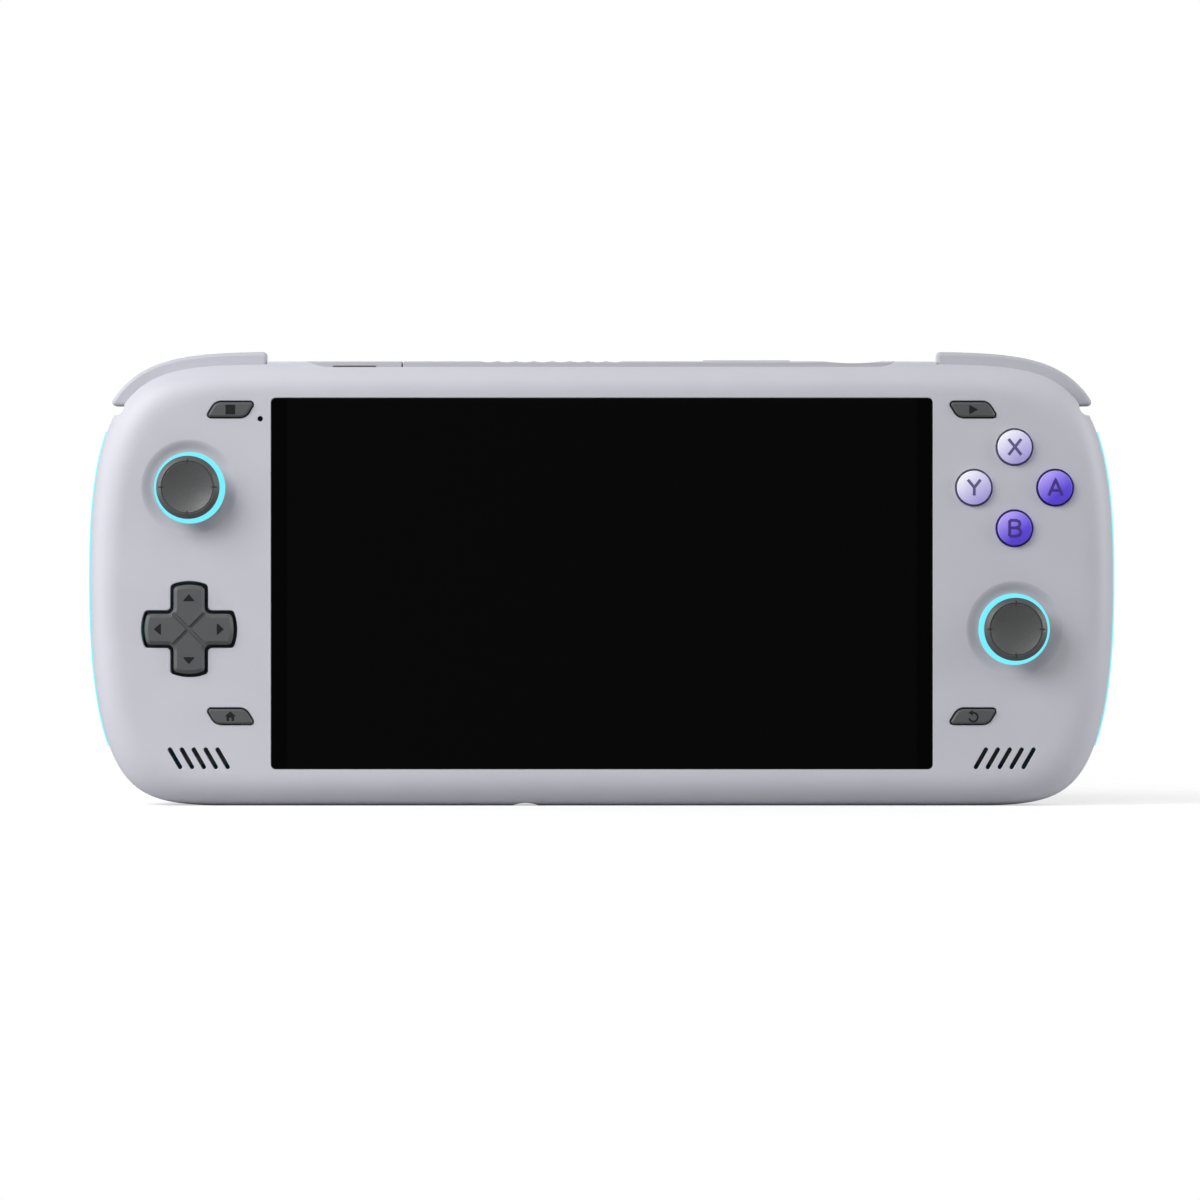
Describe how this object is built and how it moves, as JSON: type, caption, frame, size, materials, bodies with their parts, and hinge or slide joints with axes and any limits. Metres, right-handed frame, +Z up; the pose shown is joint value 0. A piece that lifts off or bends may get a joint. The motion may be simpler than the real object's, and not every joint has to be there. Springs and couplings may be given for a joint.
{
  "type": "handheld game console",
  "caption": "Wide handheld game console with a landscape screen, lit thumb sticks, direction pad, face buttons, shoulder bumpers, triggers and a fan-cooled case.",
  "frame": {"origin": "centre of the footprint at the flat lower edge the console stands on", "axes": "+X to the player's right, -Y out of the screen toward the player, +Z up the screen"},
  "size_m": [0.226, 0.0304, 0.1001],
  "materials": {
    "shell": "fine textured lilac grey plastic",
    "trim": "smooth lilac grey plastic",
    "glass": "black cover glass",
    "panel": "dark display panel",
    "frame_metal": "cast frame",
    "light": "translucent light guide, lit cyan",
    "stick_rubber": "soft textured rubber",
    "dark_plastic": "dark moulded plastic",
    "pad_plastic": "dark grey plastic",
    "button_deep": "deep violet plastic",
    "button_pale": "pale lavender plastic",
    "membrane": "silicone",
    "steel": "ground pin",
    "board": "green circuit board",
    "cell": "wrapped battery cell",
    "copper": "copper coloured fins",
    "tin": "plated shell"
  },
  "bodies": {
    "case": {"front_shell": "shell", "rear_shell": "shell", "top_bar": "trim", "screen_glass": "glass", "display_panel": "panel", "mid_frame": "frame_metal", "left_light_strip": "light", "right_light_strip": "light", "left_light_ring": "light", "right_light_ring": "light", "left_stick_base": "dark_plastic", "right_stick_base": "dark_plastic", "dpad_membrane": "membrane", "face_button_membrane": "membrane", "bumper_pins": "steel", "trigger_pins": "steel", "card_door_pin": "steel", "card_socket": "tin", "mainboard": "board", "left_control_board": "board", "right_control_board": "board", "battery": "cell", "fan_housing": "dark_plastic", "heat_sink": "copper", "left_speaker": "dark_plastic", "right_speaker": "dark_plastic", "port_board": "board", "usb_port": "tin", "audio_jack": "dark_plastic", "tact_switches": "dark_plastic", "case_screws": "tin"},
    "left_stick_gimbal": {"left_stick_gimbal": "steel"},
    "left_stick": {"left_stick_pivot": "dark_plastic", "left_stick_cap": "stick_rubber"},
    "right_stick_gimbal": {"right_stick_gimbal": "steel"},
    "right_stick": {"right_stick_pivot": "dark_plastic", "right_stick_cap": "stick_rubber"},
    "dpad_pivot": {"dpad_pivot": "steel"},
    "dpad": {"dpad": "pad_plastic"},
    "fan_rotor": {"fan_rotor": "dark_plastic"},
    "button_a": {"button_a": "button_deep"},
    "button_b": {"button_b": "button_deep"},
    "button_x": {"button_x": "button_pale"},
    "button_y": {"button_y": "button_pale"},
    "select_button": {"select_button": "pad_plastic"},
    "start_button": {"start_button": "pad_plastic"},
    "home_button": {"home_button": "pad_plastic"},
    "back_button": {"back_button": "pad_plastic"},
    "left_bumper": {"left_bumper": "trim"},
    "right_bumper": {"right_bumper": "trim"},
    "left_trigger": {"left_trigger": "trim"},
    "right_trigger": {"right_trigger": "trim"},
    "volume_rocker": {"volume_rocker": "trim"},
    "power_button": {"power_button": "trim"},
    "card_door": {"card_door": "trim"}
  },
  "joints": [
    {"name": "left_stick_up_down", "type": "hinge", "parent": "case", "child": "left_stick_gimbal", "pos_m": [-0.0904, 0.00037, 0.0698], "axis": [1, 0, 0], "range_deg": [-12, 12], "stiffness_Nm_per_rad": 0.05},
    {"name": "left_stick_left_right", "type": "hinge", "parent": "left_stick_gimbal", "child": "left_stick", "pos_m": [-0.0904, 0.00037, 0.0698], "axis": [0, 0, 1], "range_deg": [-12, 12], "stiffness_Nm_per_rad": 0.05},
    {"name": "right_stick_up_down", "type": "hinge", "parent": "case", "child": "right_stick_gimbal", "pos_m": [0.0904, 0.00037, 0.0388], "axis": [1, 0, 0], "range_deg": [-12, 12], "stiffness_Nm_per_rad": 0.05},
    {"name": "right_stick_left_right", "type": "hinge", "parent": "right_stick_gimbal", "child": "right_stick", "pos_m": [0.0904, 0.00037, 0.0388], "axis": [0, 0, 1], "range_deg": [-12, 12], "stiffness_Nm_per_rad": 0.05},
    {"name": "dpad_up_down", "type": "hinge", "parent": "case", "child": "dpad_pivot", "pos_m": [-0.0904, -0.00783, 0.0388], "axis": [1, 0, 0], "range_deg": [-3, 3], "stiffness_Nm_per_rad": 0.1},
    {"name": "dpad_left_right", "type": "hinge", "parent": "dpad_pivot", "child": "dpad", "pos_m": [-0.0904, -0.00783, 0.0388], "axis": [0, 0, 1], "range_deg": [-3, 3], "stiffness_Nm_per_rad": 0.1},
    {"name": "button_a_press", "type": "slide", "parent": "case", "child": "button_a", "axis": [0, 1, 0], "range_m": [0, 0.001], "stiffness_N_per_m": 600},
    {"name": "button_b_press", "type": "slide", "parent": "case", "child": "button_b", "axis": [0, 1, 0], "range_m": [0, 0.001], "stiffness_N_per_m": 600},
    {"name": "button_x_press", "type": "slide", "parent": "case", "child": "button_x", "axis": [0, 1, 0], "range_m": [0, 0.001], "stiffness_N_per_m": 600},
    {"name": "button_y_press", "type": "slide", "parent": "case", "child": "button_y", "axis": [0, 1, 0], "range_m": [0, 0.001], "stiffness_N_per_m": 600},
    {"name": "select_press", "type": "slide", "parent": "case", "child": "select_button", "axis": [0, 1, 0], "range_m": [0, 0.0005], "stiffness_N_per_m": 1200},
    {"name": "start_press", "type": "slide", "parent": "case", "child": "start_button", "axis": [0, 1, 0], "range_m": [0, 0.0005], "stiffness_N_per_m": 1200},
    {"name": "home_press", "type": "slide", "parent": "case", "child": "home_button", "axis": [0, 1, 0], "range_m": [0, 0.0005], "stiffness_N_per_m": 1200},
    {"name": "back_press", "type": "slide", "parent": "case", "child": "back_button", "axis": [0, 1, 0], "range_m": [0, 0.0005], "stiffness_N_per_m": 1200},
    {"name": "left_bumper_press", "type": "hinge", "parent": "case", "child": "left_bumper", "pos_m": [-0.077, 0.00167, 0.0948], "axis": [0, -1, 0], "range_deg": [0, 2.5], "stiffness_Nm_per_rad": 1},
    {"name": "right_bumper_press", "type": "hinge", "parent": "case", "child": "right_bumper", "pos_m": [0.077, 0.00167, 0.0948], "axis": [0, 1, 0], "range_deg": [0, 2.5], "stiffness_Nm_per_rad": 1},
    {"name": "left_trigger_pull", "type": "hinge", "parent": "case", "child": "left_trigger", "pos_m": [-0.077, 0.00557, 0.095], "axis": [-1, 0, 0], "range_deg": [0, 15], "stiffness_Nm_per_rad": 0.2},
    {"name": "right_trigger_pull", "type": "hinge", "parent": "case", "child": "right_trigger", "pos_m": [0.077, 0.00557, 0.095], "axis": [-1, 0, 0], "range_deg": [0, 15], "stiffness_Nm_per_rad": 0.2},
    {"name": "volume_rock", "type": "hinge", "parent": "case", "child": "volume_rocker", "pos_m": [0.03185, -0.00063, 0.0942], "axis": [0, -1, 0], "range_deg": [-1.2, 1.2], "stiffness_Nm_per_rad": 0.3},
    {"name": "power_press", "type": "slide", "parent": "case", "child": "power_button", "axis": [0, 0, -1], "range_m": [0, 0.0004], "stiffness_N_per_m": 1500},
    {"name": "card_door_open", "type": "hinge", "parent": "case", "child": "card_door", "pos_m": [-0.0539, 0.00227, 0.0967], "axis": [-1, 0, 0], "range_deg": [0, 100]},
    {"name": "fan_spin", "type": "hinge", "parent": "case", "child": "fan_rotor", "pos_m": [-0.011, 0.00137, 0.0722], "axis": [0, -1, 0], "continuous": true}
  ]
}
